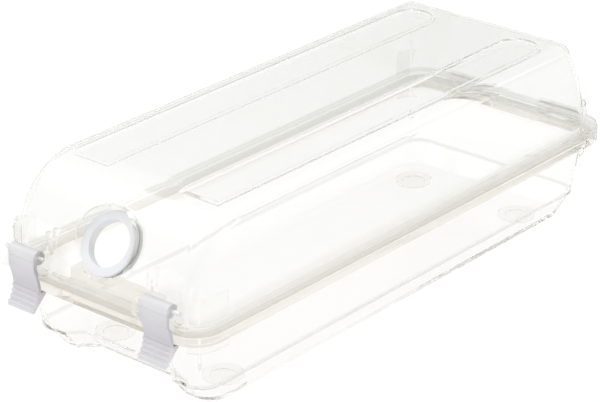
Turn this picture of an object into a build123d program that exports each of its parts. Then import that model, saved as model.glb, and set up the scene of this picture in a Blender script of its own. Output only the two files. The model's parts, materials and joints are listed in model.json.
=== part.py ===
from build123d import *
from math import cos, radians, sin
import os

# Clear tackle box with a hinged domed lid, in millimetres.
# X runs across the box, the latch end faces -Y, the hinges are at +Y and +Z is up.
# The feet stand on Z = 0, under the middle of the box.

# Rim
rim_length = 360.0
rim_width = 142.0
rim_corner = 18.0
seam_height = 51.0
seam_gap = 0.2
lid_underside = seam_height + seam_gap
tub_rim_depth = 5.2
lid_rim_depth = 5.0
lid_rim_step = 2.4
lid_rim_inset = 0.9
wall = 2.0

# Tub: width and length of its outline at the seam, at the knee near the floor and at the base
foot_height = 2.2
tub_corner = 12.0
tub_top = (seam_height, 128.0, 344.0)
tub_knee = (14.5, 122.0, 330.0)
knee_bead = 0.5
tub_base = (foot_height, 115.0, 309.0)
floor_thickness = 2.2
finger_recess_depth = 9.0
finger_recess_half = 30.0
finger_recess_top = 43.0
recess_overrun = 5.0

# Locating block inside the tub's front wall, which rises into the lid
block_width = 61.0
block_front = -165.5
block_back = -158.4
block_bottom = 39.0
block_top = 57.0

# Rim gasket and its groove
groove_outer = (134.6, 350.6, 15.0)
groove_width = 3.0
groove_depth = 2.4
gasket_side_play = 0.2
gasket_gap = 0.05

# Lid
lid_top = 109.4
lid_width_low = 128.0
lid_width_high = 123.6
lid_front = -174.5
lid_back_low = 172.0
lid_back_crease = 163.8
lid_back_high = 151.5
crease_height = 87.0
front_arc = 40.0
back_arc = 6.0
crease_arc = 12.0
shoulder = 9.0

# Corner guards, which stand on both halves of the rim
guard_outline = (136.8, 342.1, 12.0)
guard_middle_y = -4.55
guard_thickness = 1.2
guard_end_x = 59.0
guard_end_y = 154.0
guard_rib = 1.5
lid_guard_top = 71.0
lid_guard_rib_top = 77.0
tub_guard_bottom = 40.5
tub_guard_rib_bottom = 31.0

# Stacking channels in the lid's top
channel_inner = 26.0
channel_outer = 50.0
channel_front = -140.5
channel_back = 141.0
channel_depth = 1.6
channel_corner = 11.8
channel_edge = 0.4
channel_inside_edge = 2.4

# Round well in the lid's sloped front, and the ring grommet in it
ring_face_y = -168.1
ring_face_z = 80.4
ring_lean = 36.7
ring_radius = 17.6
ring_flange = 1.8
ring_hole = 12.55
ring_barrel = 14.0
lid_bore = 14.15
seal_thickness = 0.5
well_radius = 18.5
well_wall = 1.9
well_floor = 1.7
mouth_radius = 0.9
boss_reach = 6.0
ring_rounding = 0.8
well_reach = 25.0
retainer_radius = 17.0
retainer_thickness = 1.6
retainer_room = 0.4

# Snap latches
latch_x = 46.5
latch_half = 9.4
pivot_y = -181.6
pivot_z = 65.3
barrel_radius = 3.8
latch_plate = 1.8
latch_front = ((-185.1, 63.5), (-184.5, 55.0), (-182.9, 47.0), (-184.5, 40.5), (-188.0, 35.4))
hook_top = 45.2
hook_depth = 1.6
hook_tip_y = -177.2
tab_lip = 0.4
rib_shares = (0.62, 0.72, 0.82, 0.92)
rib_radius = 0.85
pin_radius = 1.2
pin_play = 0.06

# Ears on the lid that hold the latch pins
ear_gap = 0.3
inner_ear = 3.0
outer_ear = 6.4
ear_nose = 6.2
ear_nose_z = 62.0
ear_rib_reach = 2.0
ear_top_z = 78.5
pin_cover = 1.6

# Rear hinges
hinge_x = 33.5
hinge_width = 32.0
hinge_y = 185.35
hinge_z = seam_height + seam_gap / 2
knuckle_radius = 3.6
tub_knuckle = 8.0
knuckle_gap = 0.3
hinge_pin_radius = 1.5

# Feet
foot_radius = 11.0
foot_x = 38.4
foot_front_y = -126.0
foot_back_y = 134.0
foot_dish = 6.6

os.makedirs("parts", exist_ok=True)
rim_front = -rim_length / 2
rim_back = rim_length / 2


def inset_outline(outline, distance):
    """Width, length and corner radius of a rounded outline drawn in by a distance all round."""
    width, length, corner = outline
    return (width - 2 * distance, length - 2 * distance, corner - distance)


rim_outline = (rim_width, rim_length, rim_corner)
lid_rim_top = inset_outline(rim_outline, lid_rim_inset)
groove_inner = inset_outline(groove_outer, groove_width)


def save(piece, name):
    """Label a finished piece and write its STEP file."""
    piece.part.label = name
    export_step(piece.part, f"parts/{name}.step")


def along(low, high, height):
    """Width and length of the tub's outline at a height, on the line through two sections."""
    share = (height - low[0]) / (high[0] - low[0])
    return tuple(a + share * (b - a) for a, b in zip(low, high))


# ---------------------------------------------------------------- tub
cavity_floor = along(tub_base, tub_knee, foot_height + floor_thickness)
recess_foot = along(tub_base, tub_knee, -recess_overrun)
recess_head = along(tub_knee, tub_top, finger_recess_top)
recess_sections = (recess_foot, tub_knee, recess_head)


def recess_space(extra):
    """The finger recess between the latches, with sides at 45 degrees; extra makes it larger all round."""
    half = finger_recess_half + extra / 2
    with BuildPart() as space:
        for height, width, length in recess_sections:
            back = finger_recess_depth + extra - length / 2
            front = -length / 2 - recess_overrun
            flare = half + back - front
            lift = extra if height == recess_head[0] else 0
            with BuildSketch(Plane.XY.offset(height + lift)):
                with BuildLine():
                    Polyline((-flare, front), (flare, front), (half, back), (-half, back), close=True)
                make_face()
        loft(ruled=True)
    return space.part


def corner_guards(outline, low, high, rib_low, rib_high):
    """Thin curved guards round the four corners, each tied to the wall by an upright diagonal rib."""
    width, length, corner = outline
    with BuildPart() as guards:
        with BuildSketch(Plane.XY.offset(low)):
            with Locations((0, guard_middle_y)):
                RectangleRounded(*outline)
                RectangleRounded(*inset_outline(outline, guard_thickness), mode=Mode.SUBTRACT)
            Rectangle(2 * guard_end_x, rim_length, mode=Mode.SUBTRACT)
            Rectangle(width, 2 * guard_end_y, mode=Mode.SUBTRACT)
        extrude(amount=high - low)
        reach = corner - guard_thickness / 2
        for across in (-1, 1):
            for lengthways in (-1, 1):
                middle_y = guard_middle_y + lengthways * (length / 2 - corner)
                middle = (across * (width / 2 - corner), middle_y)
                with BuildSketch(Plane.XY.offset(rib_low)):
                    with Locations(Location((*middle, 0), (0, 0, across * lengthways * 45))):
                        with Locations((across * reach / 2, 0)):
                            Rectangle(reach, guard_rib)
                extrude(amount=rib_high - rib_low)
    return guards.part


with BuildPart() as tub_cavity:
    for height, width, length in (cavity_floor, tub_knee, tub_top):
        with BuildSketch(Plane.XY.offset(height)):
            RectangleRounded(width - 2 * wall, length - 2 * wall, tub_corner - wall)
    loft(ruled=True)
    add(recess_space(wall), mode=Mode.SUBTRACT)

with BuildPart() as tub:
    for height, width, length in (tub_base, tub_knee, tub_top):
        with BuildSketch(Plane.XY.offset(height)):
            RectangleRounded(width, length, tub_corner)
    loft(ruled=True)
    # Bead round the knee
    knee_height, knee_width, knee_length = tub_knee
    with BuildSketch(Plane.XY.offset(knee_height - knee_bead)):
        RectangleRounded(knee_width + 2 * knee_bead, knee_length + 2 * knee_bead, tub_corner)
    extrude(amount=2 * knee_bead)
    with BuildSketch(Plane.XY.offset(seam_height - tub_rim_depth)):
        RectangleRounded(*rim_outline)
    extrude(amount=tub_rim_depth)
    guard_end = seam_height - 1
    add(corner_guards(guard_outline, tub_guard_bottom, guard_end, tub_guard_rib_bottom, guard_end))
    add(recess_space(0), mode=Mode.SUBTRACT)
    add(tub_cavity.part, mode=Mode.SUBTRACT)
    # Locating block, joined to the front wall below the seam
    with BuildSketch(Plane.XY.offset(block_bottom)):
        with Locations((0, (block_front + block_back) / 2)):
            Rectangle(block_width, block_back - block_front)
    extrude(amount=block_top - block_bottom)
    with BuildSketch(Plane.XY.offset(finger_recess_top)):
        with Locations((0, (lid_front + block_back) / 2)):
            Rectangle(block_width, block_back - lid_front)
    extrude(amount=seam_height - finger_recess_top)
    # Gasket groove
    with BuildSketch(Plane.XY.offset(seam_height)):
        RectangleRounded(*groove_outer)
        RectangleRounded(*groove_inner, mode=Mode.SUBTRACT)
    extrude(amount=-groove_depth, mode=Mode.SUBTRACT)
    # Hinge knuckles, two to each hinge
    for side in (-1, 1):
        for end in (-1, 1):
            middle = side * hinge_x + end * (hinge_width - tub_knuckle) / 2
            with BuildSketch(Plane.YZ.offset(middle - tub_knuckle / 2)):
                with Locations((hinge_y, hinge_z)):
                    Circle(knuckle_radius)
                with Locations(((rim_back + hinge_y) / 2, hinge_z - knuckle_radius / 2)):
                    Rectangle(hinge_y - rim_back + 1, knuckle_radius)
            extrude(amount=tub_knuckle)
    with BuildSketch(Plane.YZ):
        with Locations((hinge_y, hinge_z)):
            Circle(hinge_pin_radius)
    extrude(amount=rim_width / 2, both=True, mode=Mode.SUBTRACT)
save(tub, "tub")

# ---------------------------------------------------------------- rim gasket
with BuildPart() as rim_gasket:
    with BuildSketch(Plane.XY.offset(seam_height - groove_depth)):
        RectangleRounded(*inset_outline(groove_outer, gasket_side_play))
        RectangleRounded(*inset_outline(groove_inner, -gasket_side_play), mode=Mode.SUBTRACT)
    extrude(amount=groove_depth + seam_gap - gasket_gap)
save(rim_gasket, "rim_gasket")

# ---------------------------------------------------------------- feet
foot_places = {
    "front_left_foot": (-foot_x, foot_front_y),
    "front_right_foot": (foot_x, foot_front_y),
    "back_left_foot": (-foot_x, foot_back_y),
    "back_right_foot": (foot_x, foot_back_y),
}
for foot_name, place in foot_places.items():
    with BuildPart() as foot:
        with BuildSketch():
            with Locations(place):
                Circle(foot_radius)
        extrude(amount=foot_height)
        chamfer(foot.edges().group_by(Axis.Z)[0], length=0.7)
        with BuildSketch():
            with Locations(place):
                Circle(foot_dish)
        extrude(amount=0.8, mode=Mode.SUBTRACT)
    save(foot, foot_name)


# ---------------------------------------------------------------- lid
def lid_shape(inset):
    """The lid's domed form, drawn in by an inset on every side but the underside."""
    front = lid_front + inset
    back_low = lid_back_low - inset
    back_crease = lid_back_crease - inset
    back_high = lid_back_high - inset / 2
    top = lid_top - inset
    arc_front = front_arc - inset
    arc_back = back_arc - inset
    arc_crease = crease_arc - inset
    low_half = lid_width_low / 2 - inset
    high_half = lid_width_high / 2 - inset
    with BuildPart() as form:
        with BuildSketch(Plane.YZ):
            with BuildLine():
                Polyline(
                    (front, lid_underside),
                    (front, top),
                    (back_high, top),
                    (back_crease, crease_height - inset / 2),
                    (back_low, lid_underside),
                    close=True,
                )
            make_face()
        extrude(amount=rim_width / 2, both=True)
        front_edge = form.edges().filter_by(Axis.X).group_by(Axis.Z)[-1].sort_by(Axis.Y)[0]
        fillet(front_edge, arc_front)
        back_edge = form.edges().filter_by(Axis.X).group_by(Axis.Z)[-1].sort_by(Axis.Y)[-1]
        fillet(back_edge, arc_back)
        crease = form.edges().filter_by(Axis.X).sort_by(lambda edge: abs(edge.center().Z - crease_height))[0]
        fillet(crease, arc_crease)
        with BuildSketch(Plane.XZ.offset(-rim_length)):
            with BuildLine():
                Polyline(
                    (-low_half, lid_underside),
                    (low_half, lid_underside),
                    (high_half, top),
                    (-high_half, top),
                    close=True,
                )
            make_face()
        extrude(amount=2 * rim_length, mode=Mode.INTERSECT)
        side_faces = form.faces().sort_by(Axis.X)
        rim_edges = side_faces[0].edges() + side_faces[-1].edges()
        fillet([edge for edge in rim_edges if edge.center().Z > lid_underside + 0.1], shoulder - inset)
    return form.part


def channel(side, grow, soften):
    """One stacking channel; grow makes it larger and deeper all round, soften rounds its floor."""
    with BuildPart() as space:
        with BuildSketch(Plane.XY.offset(lid_top + 1)):
            with Locations((side * (channel_inner + channel_outer) / 2, (channel_front + channel_back) / 2)):
                Rectangle(channel_outer - channel_inner + 2 * grow, channel_back - channel_front + 2 * grow)
        extrude(amount=-(1 + channel_depth + grow))
        back_corners = space.edges().filter_by(Axis.Z).group_by(Axis.Y)[-1]
        fillet(back_corners, channel_corner + grow)
        fillet(space.faces().sort_by(Axis.Z)[0].edges(), soften)
    return space.part


# Plane of the well's floor: its Z points out of the lid along the ring's axis, its X along the box's X.
ring_out = Vector(0, -cos(radians(ring_lean)), sin(radians(ring_lean)))
ring_face = Vector(0, ring_face_y, ring_face_z)
well_floor_middle = ring_face - ring_out * (ring_flange + seal_thickness)
well_plane = Plane(origin=well_floor_middle, x_dir=(1, 0, 0), z_dir=ring_out)


def ear(middle, thickness):
    """A latch ear: a gusset from the rim and the front wall out to a round nose about the pivot."""
    with BuildPart() as plate:
        with BuildSketch(Plane.YZ.offset(middle - thickness / 2)):
            with Locations((pivot_y, ear_nose_z)):
                Circle(ear_nose)
            with BuildLine():
                Polyline(
                    (lid_front + 1, lid_underside + lid_rim_depth - 1),
                    (pivot_y - ear_nose / 2, lid_underside + lid_rim_depth - 1),
                    (pivot_y, ear_nose_z + ear_nose),
                    (lid_front - ear_rib_reach, ear_nose_z + ear_nose),
                    (lid_front - ear_rib_reach, ear_top_z),
                    (lid_front + 3 * ear_rib_reach, ear_top_z),
                    (lid_front + 1, pivot_z),
                    close=True,
                )
            make_face()
        extrude(amount=thickness)
    return plate.part


with BuildPart() as lid_cavity:
    add(lid_shape(wall))
    for side in (-1, 1):
        add(channel(side, wall, channel_inside_edge), mode=Mode.SUBTRACT)
    with BuildSketch(well_plane.offset(-well_floor)):
        Circle(well_radius + well_wall)
    extrude(amount=well_reach, mode=Mode.SUBTRACT)

with BuildPart() as lid:
    add(lid_shape(0))
    for side in (-1, 1):
        add(channel(side, 0, channel_edge), mode=Mode.SUBTRACT)
    with BuildSketch(well_plane.offset(-boss_reach)):
        Circle(well_radius + well_wall)
    extrude(amount=boss_reach)
    with BuildSketch(well_plane):
        Circle(well_radius)
    extrude(amount=well_reach, mode=Mode.SUBTRACT)
    # Soft mouth on the well
    mouth = [
        edge for edge in lid.edges(Select.LAST)
        if (edge.center() - well_floor_middle).dot(ring_out) > mouth_radius / 2
    ]
    fillet(mouth, mouth_radius)
    # Rim in two steps
    with BuildSketch(Plane.XY.offset(lid_underside)):
        RectangleRounded(*rim_outline)
    extrude(amount=lid_rim_depth - lid_rim_step)
    with BuildSketch(Plane.XY.offset(lid_underside)):
        RectangleRounded(*lid_rim_top)
    extrude(amount=lid_rim_depth)
    guard_end = lid_underside + 1
    add(corner_guards(guard_outline, guard_end, lid_guard_top, guard_end, lid_guard_rib_top))
    add(lid_cavity.part, mode=Mode.SUBTRACT)
    # Bore for the grommet, with room for its retainer inside
    with BuildSketch(well_plane.offset(-boss_reach - 4)):
        Circle(lid_bore)
    extrude(amount=boss_reach + 5, mode=Mode.SUBTRACT)
    with BuildSketch(well_plane.offset(-boss_reach - 4)):
        Circle(retainer_radius + retainer_room)
    extrude(amount=boss_reach + 4 - well_floor, mode=Mode.SUBTRACT)
    # Latch ears
    for side in (-1, 1):
        inner_middle = side * (latch_x - latch_half - ear_gap - inner_ear / 2)
        outer_middle = side * (latch_x + latch_half + ear_gap + outer_ear / 2)
        add(ear(inner_middle, inner_ear))
        add(ear(outer_middle, outer_ear))
        with BuildSketch(Plane.YZ.offset(side * (latch_x - latch_half - ear_gap - inner_ear - 1))):
            with Locations((pivot_y, pivot_z)):
                Circle(pin_radius)
        pin_span = 2 * (latch_half + ear_gap) + inner_ear + outer_ear - pin_cover + 1
        extrude(amount=side * pin_span, mode=Mode.SUBTRACT)
    # Hinge knuckles, one in the middle of each hinge
    for side in (-1, 1):
        knuckle = hinge_width - 2 * tub_knuckle - 2 * knuckle_gap
        with BuildSketch(Plane.YZ.offset(side * hinge_x - knuckle / 2)):
            with Locations((hinge_y, hinge_z)):
                Circle(knuckle_radius)
            with BuildLine():
                Polyline(
                    (rim_back - 1, lid_underside),
                    (hinge_y, lid_underside),
                    (hinge_y, hinge_z + knuckle_radius),
                    (rim_back - 1, hinge_z + knuckle_radius),
                    close=True,
                )
            make_face()
        extrude(amount=knuckle)
    with BuildSketch(Plane.YZ):
        with Locations((hinge_y, hinge_z)):
            Circle(hinge_pin_radius + pin_play)
    extrude(amount=rim_width / 2, both=True, mode=Mode.SUBTRACT)
save(lid, "lid")

# ---------------------------------------------------------------- ring grommet, its seal and its retainer
with BuildPart() as grommet_seal:
    with BuildSketch(well_plane):
        Circle(ring_radius - 0.6)
        Circle(lid_bore, mode=Mode.SUBTRACT)
    extrude(amount=seal_thickness)
save(grommet_seal, "grommet_seal")

with BuildPart() as ring_grommet:
    with BuildSketch(well_plane.offset(seal_thickness)):
        Circle(ring_radius)
    extrude(amount=ring_flange)
    with BuildSketch(well_plane.offset(-well_floor - retainer_thickness)):
        Circle(ring_barrel)
    extrude(amount=well_floor + retainer_thickness + seal_thickness)
    with BuildSketch(well_plane.offset(-boss_reach)):
        Circle(ring_hole)
    extrude(amount=2 * boss_reach, mode=Mode.SUBTRACT)
    circles = ring_grommet.edges().filter_by(GeomType.CIRCLE)
    outer_rim = circles.sort_by(lambda edge: edge.center().dot(ring_out))[-2:]
    fillet(outer_rim, ring_rounding)
save(ring_grommet, "ring_grommet")

with BuildPart() as grommet_retainer:
    with BuildSketch(well_plane.offset(-well_floor - retainer_thickness)):
        Circle(retainer_radius)
        Circle(ring_barrel, mode=Mode.SUBTRACT)
    extrude(amount=retainer_thickness)
save(grommet_retainer, "grommet_retainer")

# ---------------------------------------------------------------- latches and their pins
for latch_name, side in (("left_latch", -1), ("right_latch", 1)):
    with BuildPart() as latch:
        with BuildSketch(Plane.YZ.offset(side * latch_x - latch_half)):
            with BuildLine():
                front_curve = Spline(*latch_front)
                back_curve = Spline(*[(y + latch_plate, z) for y, z in latch_front])
                Line(front_curve @ 0, back_curve @ 0)
                Line(front_curve @ 1, back_curve @ 1)
            make_face()
            with Locations((pivot_y, pivot_z)):
                Circle(barrel_radius)
            with BuildLine():
                Polyline(
                    (latch_front[2][0] + latch_plate / 2, hook_top),
                    (hook_tip_y, hook_top),
                    (hook_tip_y, hook_top - hook_depth / 2),
                    (latch_front[-1][0] + latch_plate, latch_front[-1][1] + tab_lip),
                    close=True,
                )
            make_face()
            with Locations([(front_curve.position_at(share)) for share in rib_shares]):
                Circle(rib_radius)
        extrude(amount=2 * latch_half)
        with BuildSketch(Plane.YZ.offset(side * latch_x)):
            with Locations((pivot_y, pivot_z)):
                Circle(pin_radius + pin_play)
        extrude(amount=latch_half + 1, both=True, mode=Mode.SUBTRACT)
    save(latch, latch_name)

    with BuildPart() as latch_pin:
        with BuildSketch(Plane.YZ.offset(side * (latch_x - latch_half - ear_gap - inner_ear))):
            with Locations((pivot_y, pivot_z)):
                Circle(pin_radius)
        extrude(amount=side * (2 * (latch_half + ear_gap) + inner_ear + outer_ear - pin_cover))
    save(latch_pin, latch_name + "_pin")

# ---------------------------------------------------------------- hinge pins
for pin_name, side in (("left_hinge_pin", -1), ("right_hinge_pin", 1)):
    with BuildPart() as hinge_pin:
        with BuildSketch(Plane.YZ.offset(side * hinge_x - hinge_width / 2)):
            with Locations((hinge_y, hinge_z)):
                Circle(hinge_pin_radius)
        extrude(amount=hinge_width)
    save(hinge_pin, pin_name)
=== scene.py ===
import json
import math
import bmesh
import bpy
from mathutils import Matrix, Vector


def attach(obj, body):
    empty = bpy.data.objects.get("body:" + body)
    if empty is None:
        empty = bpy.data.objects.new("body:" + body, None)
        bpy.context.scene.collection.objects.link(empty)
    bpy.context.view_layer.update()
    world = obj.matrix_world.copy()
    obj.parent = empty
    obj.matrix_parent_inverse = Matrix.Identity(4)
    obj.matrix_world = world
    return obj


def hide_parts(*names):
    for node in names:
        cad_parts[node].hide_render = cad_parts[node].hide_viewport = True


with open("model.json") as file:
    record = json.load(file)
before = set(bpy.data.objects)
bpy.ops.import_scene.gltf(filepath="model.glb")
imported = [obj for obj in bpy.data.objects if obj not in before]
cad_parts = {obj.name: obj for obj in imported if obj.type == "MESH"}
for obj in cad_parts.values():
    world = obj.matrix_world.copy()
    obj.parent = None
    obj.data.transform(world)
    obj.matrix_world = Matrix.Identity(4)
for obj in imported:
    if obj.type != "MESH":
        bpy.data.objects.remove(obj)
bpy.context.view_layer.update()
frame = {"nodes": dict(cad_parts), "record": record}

NODES = frame["nodes"]

# Camera, in metres
CAMERA_PLACE = (0.81853, -0.98685, 0.62902)
CAMERA_TARGET = (-0.01549, 0.0, 0.04077)
CAMERA_LENS = 151.8
SENSOR_WIDTH = 36.0

scene = bpy.context.scene

WHITE = (1.0, 1.0, 1.0)

# Noise textures
NOISE_DETAIL = 3.0
NOISE_ROUGHNESS = 0.55
RAMP_START = 0.3
RAMP_END = 0.7

# Clear plastic: how much light it lets through, how it bends it, and its polished skin
CLEAR_SHARE = 0.985
LID_IOR = 1.065
TUB_IOR = 1.075
COAT_IOR = 1.5
COAT_ROUGHNESS = 0.05
CLEAR_MOTTLE_SCALE = 9.0
CLEAR_ROUGHNESS = (22.0, 0.03, 0.09)
CLEAR_BUMP = (14.0, 0.05, 0.0006, 2.0)
# Painted shade on clear walls met at a glancing angle, standing in for the dark lines refraction draws along
# edges
EDGE_SHADE_START = 0.70
EDGE_SHADE_COLOUR = (0.75, 0.745, 0.74)
BOX_TINT_START = 0.98

# Solid plastic and steel: noise scale, then the range or the relief
SOLID_MOTTLE_SCALE = 60.0
SOLID_ROUGHNESS_SCALE = 140.0
SOLID_GRAIN_SCALE = 1800.0
SOLID_GRAIN_DEPTH = 0.0001
STEEL_MOTTLE_SCALE = 400.0
STEEL_ROUGHNESS = (700.0, 0.4, 0.55)
STEEL_BUMP = (2500.0, 0.1, 0.00005, 4.0)
GRAIN_DETAIL = 4.0

# Stand-ins for small parts: how far edges are rounded and skins inset, in metres, then how meshes are cleaned
LATCH_SOFT = 0.00045
LATCH_PIN_SOFT = 0.0003
HINGE_PIN_SOFT = 0.0004
FOOT_SOFT = 0.0006
RING_SOFT = 0.0004
SEAL_SOFT = 0.0001
GASKET_SOFT = 0.0005
HAIR = 0.00004
WELD = 2e-6
FLAT_ANGLE = 0.5
SHARP_ANGLE = 35.0
SMOOTH_ANGLE = 40.0
BEVEL_SEGMENTS = 3

# Stage and lights
FLOOR_SIZE = 40.0
FLOOR_Z = -0.0003
FLOOR_GREY = (0.05, 0.05, 0.05, 1.0)
FLOOR_ROUGHNESS = 0.9
FLOOR_GLOW = 0.98
LIGHT_TARGET = (0, 0, 0.05)
BOUNCES = 32


# ---------------------------------------------------------------- materials
def new_material(name):
    """A node material, its node tree and its Principled shader."""
    material = bpy.data.materials.new(name)
    material.use_nodes = True
    tree = material.node_tree
    shader = tree.nodes["Principled BSDF"]
    return material, tree, shader


def noise_ramp(tree, scale, low, high):
    """Object-space noise mixed between two colours."""
    coords = tree.nodes.new("ShaderNodeTexCoord")
    noise = tree.nodes.new("ShaderNodeTexNoise")
    noise.inputs["Scale"].default_value = scale
    noise.inputs["Detail"].default_value = NOISE_DETAIL
    noise.inputs["Roughness"].default_value = NOISE_ROUGHNESS
    ramp = tree.nodes.new("ShaderNodeValToRGB")
    ramp.color_ramp.elements[0].position = RAMP_START
    ramp.color_ramp.elements[1].position = RAMP_END
    ramp.color_ramp.elements[0].color = (*low, 1.0)
    ramp.color_ramp.elements[1].color = (*high, 1.0)
    tree.links.new(coords.outputs["Object"], noise.inputs["Vector"])
    tree.links.new(noise.outputs["Fac"], ramp.inputs["Fac"])
    return ramp.outputs["Color"]


def bump(tree, shader, scale, strength, distance, detail):
    """Fine surface relief from noise in object space."""
    coords = tree.nodes.new("ShaderNodeTexCoord")
    noise = tree.nodes.new("ShaderNodeTexNoise")
    noise.inputs["Scale"].default_value = scale
    noise.inputs["Detail"].default_value = detail
    node = tree.nodes.new("ShaderNodeBump")
    node.inputs["Strength"].default_value = strength
    node.inputs["Distance"].default_value = distance
    tree.links.new(coords.outputs["Object"], noise.inputs["Vector"])
    tree.links.new(noise.outputs["Fac"], node.inputs["Height"])
    tree.links.new(node.outputs["Normal"], shader.inputs["Normal"])


def roughness_range(tree, shader, scale, low, high):
    """Roughness that wanders between two values."""
    value = noise_ramp(tree, scale, (low,) * 3, (high,) * 3)
    tree.links.new(value, shader.inputs["Roughness"])


def ramp_along(tree, axis, low, high, steps):
    """Colours along one axis of the object, from low to high in metres; steps are (metres, colour)."""
    coords = tree.nodes.new("ShaderNodeTexCoord")
    split = tree.nodes.new("ShaderNodeSeparateXYZ")
    spread = tree.nodes.new("ShaderNodeMapRange")
    spread.inputs["From Min"].default_value = low
    spread.inputs["From Max"].default_value = high
    ramp = tree.nodes.new("ShaderNodeValToRGB")
    elements = ramp.color_ramp.elements
    while len(elements) < len(steps):
        elements.new(1.0)
    for element, (place, colour) in zip(elements, steps):
        element.position = (place - low) / (high - low)
        element.color = (*colour, 1.0)
    tree.links.new(coords.outputs["Object"], split.inputs["Vector"])
    tree.links.new(split.outputs[axis], spread.inputs["Value"])
    tree.links.new(spread.outputs["Result"], ramp.inputs["Fac"])
    return ramp.outputs["Color"]


def product(tree, *colours):
    """Colours multiplied together."""
    result = colours[0]
    for colour in colours[1:]:
        node = tree.nodes.new("ShaderNodeMix")
        node.data_type = "RGBA"
        node.blend_type = "MULTIPLY"
        node.inputs["Factor"].default_value = 1.0
        tree.links.new(result, node.inputs["A"])
        tree.links.new(colour, node.inputs["B"])
        result = node.outputs["Result"]
    return result


def box_tint(tree, middle, half, colour):
    """One colour inside a box of the object, in metres, and white outside it."""
    coords = tree.nodes.new("ShaderNodeTexCoord")
    offset = tree.nodes.new("ShaderNodeVectorMath")
    offset.operation = "SUBTRACT"
    offset.inputs[1].default_value = middle
    scaled = tree.nodes.new("ShaderNodeVectorMath")
    scaled.operation = "DIVIDE"
    scaled.inputs[1].default_value = half
    size = tree.nodes.new("ShaderNodeVectorMath")
    size.operation = "ABSOLUTE"
    split = tree.nodes.new("ShaderNodeSeparateXYZ")
    tree.links.new(coords.outputs["Object"], offset.inputs[0])
    tree.links.new(offset.outputs["Vector"], scaled.inputs[0])
    tree.links.new(scaled.outputs["Vector"], size.inputs[0])
    tree.links.new(size.outputs["Vector"], split.inputs["Vector"])
    largest = split.outputs["X"]
    for axis in ("Y", "Z"):
        pick = tree.nodes.new("ShaderNodeMath")
        pick.operation = "MAXIMUM"
        tree.links.new(largest, pick.inputs[0])
        tree.links.new(split.outputs[axis], pick.inputs[1])
        largest = pick.outputs["Value"]
    ramp = tree.nodes.new("ShaderNodeValToRGB")
    ramp.color_ramp.elements[0].position = BOX_TINT_START
    ramp.color_ramp.elements[0].color = (*colour, 1.0)
    ramp.color_ramp.elements[1].position = 1.0
    ramp.color_ramp.elements[1].color = (*WHITE, 1.0)
    tree.links.new(largest, ramp.inputs["Fac"])
    return ramp.outputs["Color"]


def edge_painted_shade(tree):
    """Painted shade: white on a wall met square on, darkening to a grey where the wall is met along its
    length, standing in for the dark lines that refraction draws along the edges and silhouettes of clear
    plastic.
    """
    weight = tree.nodes.new("ShaderNodeLayerWeight")
    weight.inputs["Blend"].default_value = 0.5
    ramp = tree.nodes.new("ShaderNodeValToRGB")
    ramp.color_ramp.elements[0].position = EDGE_SHADE_START
    ramp.color_ramp.elements[0].color = (*WHITE, 1.0)
    ramp.color_ramp.elements[1].position = 1.0
    ramp.color_ramp.elements[1].color = (*EDGE_SHADE_COLOUR, 1.0)
    tree.links.new(weight.outputs["Facing"], ramp.inputs["Fac"])
    return ramp.outputs["Color"]


def clear_plastic(name, tint_low, tint_high, absorb, density, coat, ior, bands=(), boxes=()):
    """Moulded see-through plastic: a polished skin over a faintly milky, tinted wall.

    bands are (axis, low, high, steps) for ramp_along and boxes are (middle, half, colour) for box_tint: the
    warm tint of the thicker tub flange and of the locating block, and painted shade on the tub's knee, the
    top of the tub's flange, the lid's flange and the lid's far end. Walls met at a glancing angle also get
    painted shade."""
    material, tree, shader = new_material(name)
    tints_and_shade = [noise_ramp(tree, CLEAR_MOTTLE_SCALE, tint_low, tint_high)]
    tints_and_shade += [ramp_along(tree, *band) for band in bands]
    tints_and_shade += [box_tint(tree, *box) for box in boxes]
    # Painted shade along walls met at a glancing angle
    tints_and_shade.append(edge_painted_shade(tree))
    tree.links.new(product(tree, *tints_and_shade), shader.inputs["Base Color"])
    roughness_range(tree, shader, *CLEAR_ROUGHNESS)
    shader.inputs["Transmission Weight"].default_value = CLEAR_SHARE
    shader.inputs["IOR"].default_value = ior
    shader.inputs["Coat Weight"].default_value = coat
    shader.inputs["Coat IOR"].default_value = COAT_IOR
    shader.inputs["Coat Roughness"].default_value = COAT_ROUGHNESS
    bump(tree, shader, *CLEAR_BUMP)
    volume = tree.nodes.new("ShaderNodeVolumeAbsorption")
    volume.inputs["Color"].default_value = (*absorb, 1.0)
    volume.inputs["Density"].default_value = density
    tree.links.new(volume.outputs["Volume"], tree.nodes["Material Output"].inputs["Volume"])
    return material


def solid_plastic(name, low, high, rough_low, rough_high, grain, bands=()):
    """Opaque moulded plastic with faint mottling and a fine grain, multiplied by any bands, which on the
    latch are painted shade.
    """
    material, tree, shader = new_material(name)
    tints_and_shade = [noise_ramp(tree, SOLID_MOTTLE_SCALE, low, high)]
    tints_and_shade += [ramp_along(tree, *band) for band in bands]
    tree.links.new(product(tree, *tints_and_shade), shader.inputs["Base Color"])
    roughness_range(tree, shader, SOLID_ROUGHNESS_SCALE, rough_low, rough_high)
    bump(tree, shader, SOLID_GRAIN_SCALE, grain, SOLID_GRAIN_DEPTH, GRAIN_DETAIL)
    return material


def metal(name, colour_low, colour_high):
    """Steel with faint mottling and a fine grain."""
    material, tree, shader = new_material(name)
    shader.inputs["Metallic"].default_value = 1.0
    tree.links.new(noise_ramp(tree, STEEL_MOTTLE_SCALE, colour_low, colour_high), shader.inputs["Base Color"])
    roughness_range(tree, shader, *STEEL_ROUGHNESS)
    bump(tree, shader, *STEEL_BUMP)
    return material
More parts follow.
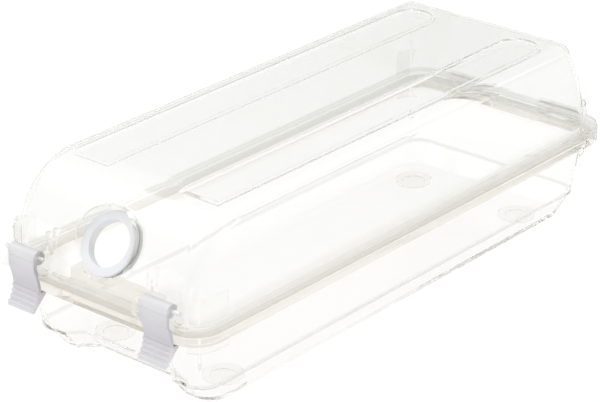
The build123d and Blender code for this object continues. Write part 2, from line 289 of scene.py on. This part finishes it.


# Colours by height and length, in metres. The tub has a grey knee, which is painted shade, and a faintly warm
# flange, the tint of thicker plastic, greying at its top where the lid sits, which is painted shade; its
# locating block is slightly warm. The lid has a grey flange and darkens towards its back, both painted shade.
TUB_TINT_AND_SHADE = (
    ("Z", 0.0, 0.06, (
        (0.0136, WHITE),
        (0.0140, (0.84, 0.84, 0.835)),
        (0.0150, (0.84, 0.84, 0.835)),
        (0.0154, WHITE),
        (0.0430, WHITE),
        (0.0455, (0.972, 0.953, 0.93)),
        (0.0508, (0.962, 0.945, 0.925)),
        (0.0520, (0.93, 0.92, 0.905)),
    )),
)
TUB_BOXES = (
    ((0.0, -0.165, 0.050), (0.0315, 0.012, 0.012), (0.98, 0.97, 0.96)),
)
# Painted shade: a grey band on the lid's flange, and the lid darkening towards its back
LID_PAINTED_SHADE = (
    ("Z", 0.04, 0.12, (
        (0.0510, (0.94, 0.94, 0.938)),
        (0.0570, (0.962, 0.962, 0.955)),
        (0.0590, WHITE),
    )),
    ("Y", -0.20, 0.20, (
        (-0.12, (0.995, 0.995, 0.99)),
        (0.15, (0.968, 0.97, 0.962)),
        (0.175, (0.935, 0.937, 0.93)),
    )),
)

CLEAR_TUB = clear_plastic(
    "clear_tub_plastic", (0.99, 0.985, 0.975), (0.998, 0.995, 0.99), (0.78, 0.73, 0.66), 6.0, 0.5, TUB_IOR,
    TUB_TINT_AND_SHADE, TUB_BOXES)
CLEAR_LID = clear_plastic(
    "clear_lid_plastic", (0.99, 0.99, 0.985), (0.996, 0.996, 0.993), (0.68, 0.67, 0.60), 8.0, 1.0, LID_IOR,
    LID_PAINTED_SHADE)
CLEAR_FOOT = clear_plastic(
    "clear_foot_pad", (0.985, 0.98, 0.965), (0.995, 0.99, 0.98), (0.70, 0.66, 0.55), 8.0, 0.5, TUB_IOR)
# Painted shade: the latch darkens across its middle and stays light on its top barrel and tab, as if lit from
# above
LATCH_PAINTED_SHADE = (
    ("Z", 0.03, 0.07, (
        (0.0360, WHITE),
        (0.0440, (0.96, 0.95, 0.96)),
        (0.0480, (0.80, 0.79, 0.80)),
        (0.0580, (0.88, 0.87, 0.88)),
        (0.0650, WHITE),
    )),
)
LATCH = solid_plastic(
    "latch_plastic", (0.77, 0.76, 0.79), (0.81, 0.80, 0.83), 0.34, 0.46, 0.06, LATCH_PAINTED_SHADE)
GROMMET = solid_plastic("grommet_plastic", (0.88, 0.88, 0.92), (0.91, 0.91, 0.95), 0.32, 0.45, 0.05)
GASKET = clear_plastic(
    "gasket_rubber", (0.93, 0.915, 0.89), (0.96, 0.945, 0.925), (0.80, 0.775, 0.74), 25.0, 0.5, LID_IOR)
STEEL = metal("pin_steel", (0.86, 0.86, 0.87), (0.92, 0.92, 0.93))

FINISH = {
    "clear_tub": CLEAR_TUB,
    "clear_lid": CLEAR_LID,
    "latch_plastic": LATCH,
    "grommet": GROMMET,
    "gasket": GASKET,
    "foot_pad": CLEAR_FOOT,
    "pin_steel": STEEL,
}


def dress(piece, material):
    """Give every part of a piece one material."""
    piece.data.materials.clear()
    piece.data.materials.append(material)


SLOT_OF = {row["node"]: row["material_slot"] for row in frame["record"]["subparts"]}
BODY_OF = {node: body for body, members in frame["record"]["behaviour"]["bodies"].items() for node in members}
for node, slot in SLOT_OF.items():
    dress(NODES[node], FINISH[slot])


# ---------------------------------------------------------------- small parts with softened edges
def softened(node, soften, inset):
    """Stand-in for a small solid: its edges rounded over by soften, its skin inset inside the solid's."""
    form = bmesh.new()
    form.from_mesh(NODES[node].data)
    bmesh.ops.remove_doubles(form, verts=form.verts, dist=WELD)
    bmesh.ops.dissolve_limit(form, angle_limit=math.radians(FLAT_ANGLE), verts=form.verts, edges=form.edges)
    corners = [edge for edge in form.edges if len(edge.link_faces) == 2
               and edge.calc_face_angle() > math.radians(SHARP_ANGLE)]
    bmesh.ops.bevel(form, geom=corners, offset=soften, segments=BEVEL_SEGMENTS, profile=0.5,
                    affect="EDGES", clamp_overlap=True)
    bmesh.ops.remove_doubles(form, verts=form.verts, dist=WELD)
    bmesh.ops.triangulate(form, faces=[face for face in form.faces if len(face.verts) > 4])
    form.normal_update()
    for vertex in form.verts:
        vertex.co = vertex.co - vertex.normal * inset
    mesh = bpy.data.meshes.new(node + "_soft")
    form.to_mesh(mesh)
    form.free()
    mesh.shade_smooth()
    mesh.set_sharp_from_angle(angle=math.radians(SMOOTH_ANGLE))
    piece = bpy.data.objects.new(node + "_soft", mesh)
    scene.collection.objects.link(piece)
    dress(piece, FINISH[SLOT_OF[node]])
    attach(piece, BODY_OF[node])
    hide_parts(node)


for side in ("left", "right"):
    softened(side + "_latch", LATCH_SOFT, 0.0)
    softened(side + "_latch_pin", LATCH_PIN_SOFT, HAIR)
    softened(side + "_hinge_pin", HINGE_PIN_SOFT, HAIR)
    for end in ("front", "back"):
        softened(end + "_" + side + "_foot", FOOT_SOFT, HAIR)
softened("ring_grommet", RING_SOFT, HAIR)
softened("grommet_retainer", RING_SOFT, HAIR)
softened("grommet_seal", SEAL_SOFT, HAIR)
softened("rim_gasket", GASKET_SOFT, HAIR)

# ---------------------------------------------------------------- stage
# Light by height above the horizon, from 0 at the horizon to 1 straight up
WORLD_STEPS = (
    (0.0, (0.74, 0.75, 0.72)),
    (0.30, (0.70, 0.71, 0.68)),
    (0.60, (0.85, 0.86, 0.85)),
    (1.0, WHITE),
)
floor_mesh = bpy.data.meshes.new("floor")
half = FLOOR_SIZE / 2
corners = [(-half, -half, FLOOR_Z), (half, -half, FLOOR_Z), (half, half, FLOOR_Z), (-half, half, FLOOR_Z)]
floor_mesh.from_pydata(corners, [], [(0, 1, 2, 3)])
floor = bpy.data.objects.new("floor", floor_mesh)
scene.collection.objects.link(floor)
floor_material, floor_tree, floor_shader = new_material("floor_white")
floor_shader.inputs["Base Color"].default_value = FLOOR_GREY
floor_shader.inputs["Roughness"].default_value = FLOOR_ROUGHNESS
floor_shader.inputs["Emission Color"].default_value = (*WHITE, 1.0)
floor_shader.inputs["Emission Strength"].default_value = FLOOR_GLOW
floor_mesh.materials.append(floor_material)

world = bpy.data.worlds.new("studio")
world.use_nodes = True
sky = world.node_tree
place = sky.nodes.new("ShaderNodeTexCoord")
parts = sky.nodes.new("ShaderNodeSeparateXYZ")
blend = sky.nodes.new("ShaderNodeValToRGB")
for position, _ in WORLD_STEPS[1:-1]:
    blend.color_ramp.elements.new(position)
for element, (position, colour) in zip(blend.color_ramp.elements, WORLD_STEPS):
    element.position = position
    element.color = (*colour, 1.0)
sky.links.new(place.outputs["Generated"], parts.inputs["Vector"])
sky.links.new(parts.outputs["Z"], blend.inputs["Fac"])
sky.links.new(blend.outputs["Color"], sky.nodes["Background"].inputs["Color"])
sky.nodes["Background"].inputs["Strength"].default_value = 1.0
scene.world = world


def area_light(name, place, size, power):
    """A square lamp aimed at the object."""
    light = bpy.data.lights.new(name, "AREA")
    light.size = size
    light.energy = power
    obj = bpy.data.objects.new(name, light)
    obj.location = place
    obj.rotation_mode = "QUATERNION"
    obj.rotation_quaternion = (Vector(LIGHT_TARGET) - Vector(place)).to_track_quat("-Z", "Y")
    scene.collection.objects.link(obj)


area_light("key", (-0.9, -0.4, 1.5), 1.2, 6.0)
area_light("fill", (1.2, 0.9, 1.2), 1.4, 4.0)

camera_data = bpy.data.cameras.new("camera")
camera_data.lens = CAMERA_LENS
camera_data.sensor_width = SENSOR_WIDTH
camera_data.clip_start = 0.05
camera_data.clip_end = 100.0
camera = bpy.data.objects.new("camera", camera_data)
camera.location = CAMERA_PLACE
camera.rotation_mode = "QUATERNION"
camera.rotation_quaternion = (Vector(CAMERA_TARGET) - Vector(CAMERA_PLACE)).to_track_quat("-Z", "Y")
scene.collection.objects.link(camera)
scene.camera = camera

scene.view_settings.view_transform = "Standard"
scene.cycles.max_bounces = BOUNCES
scene.cycles.transmission_bounces = BOUNCES
scene.cycles.transparent_max_bounces = BOUNCES
scene.cycles.glossy_bounces = BOUNCES

bpy.context.view_layer.update()
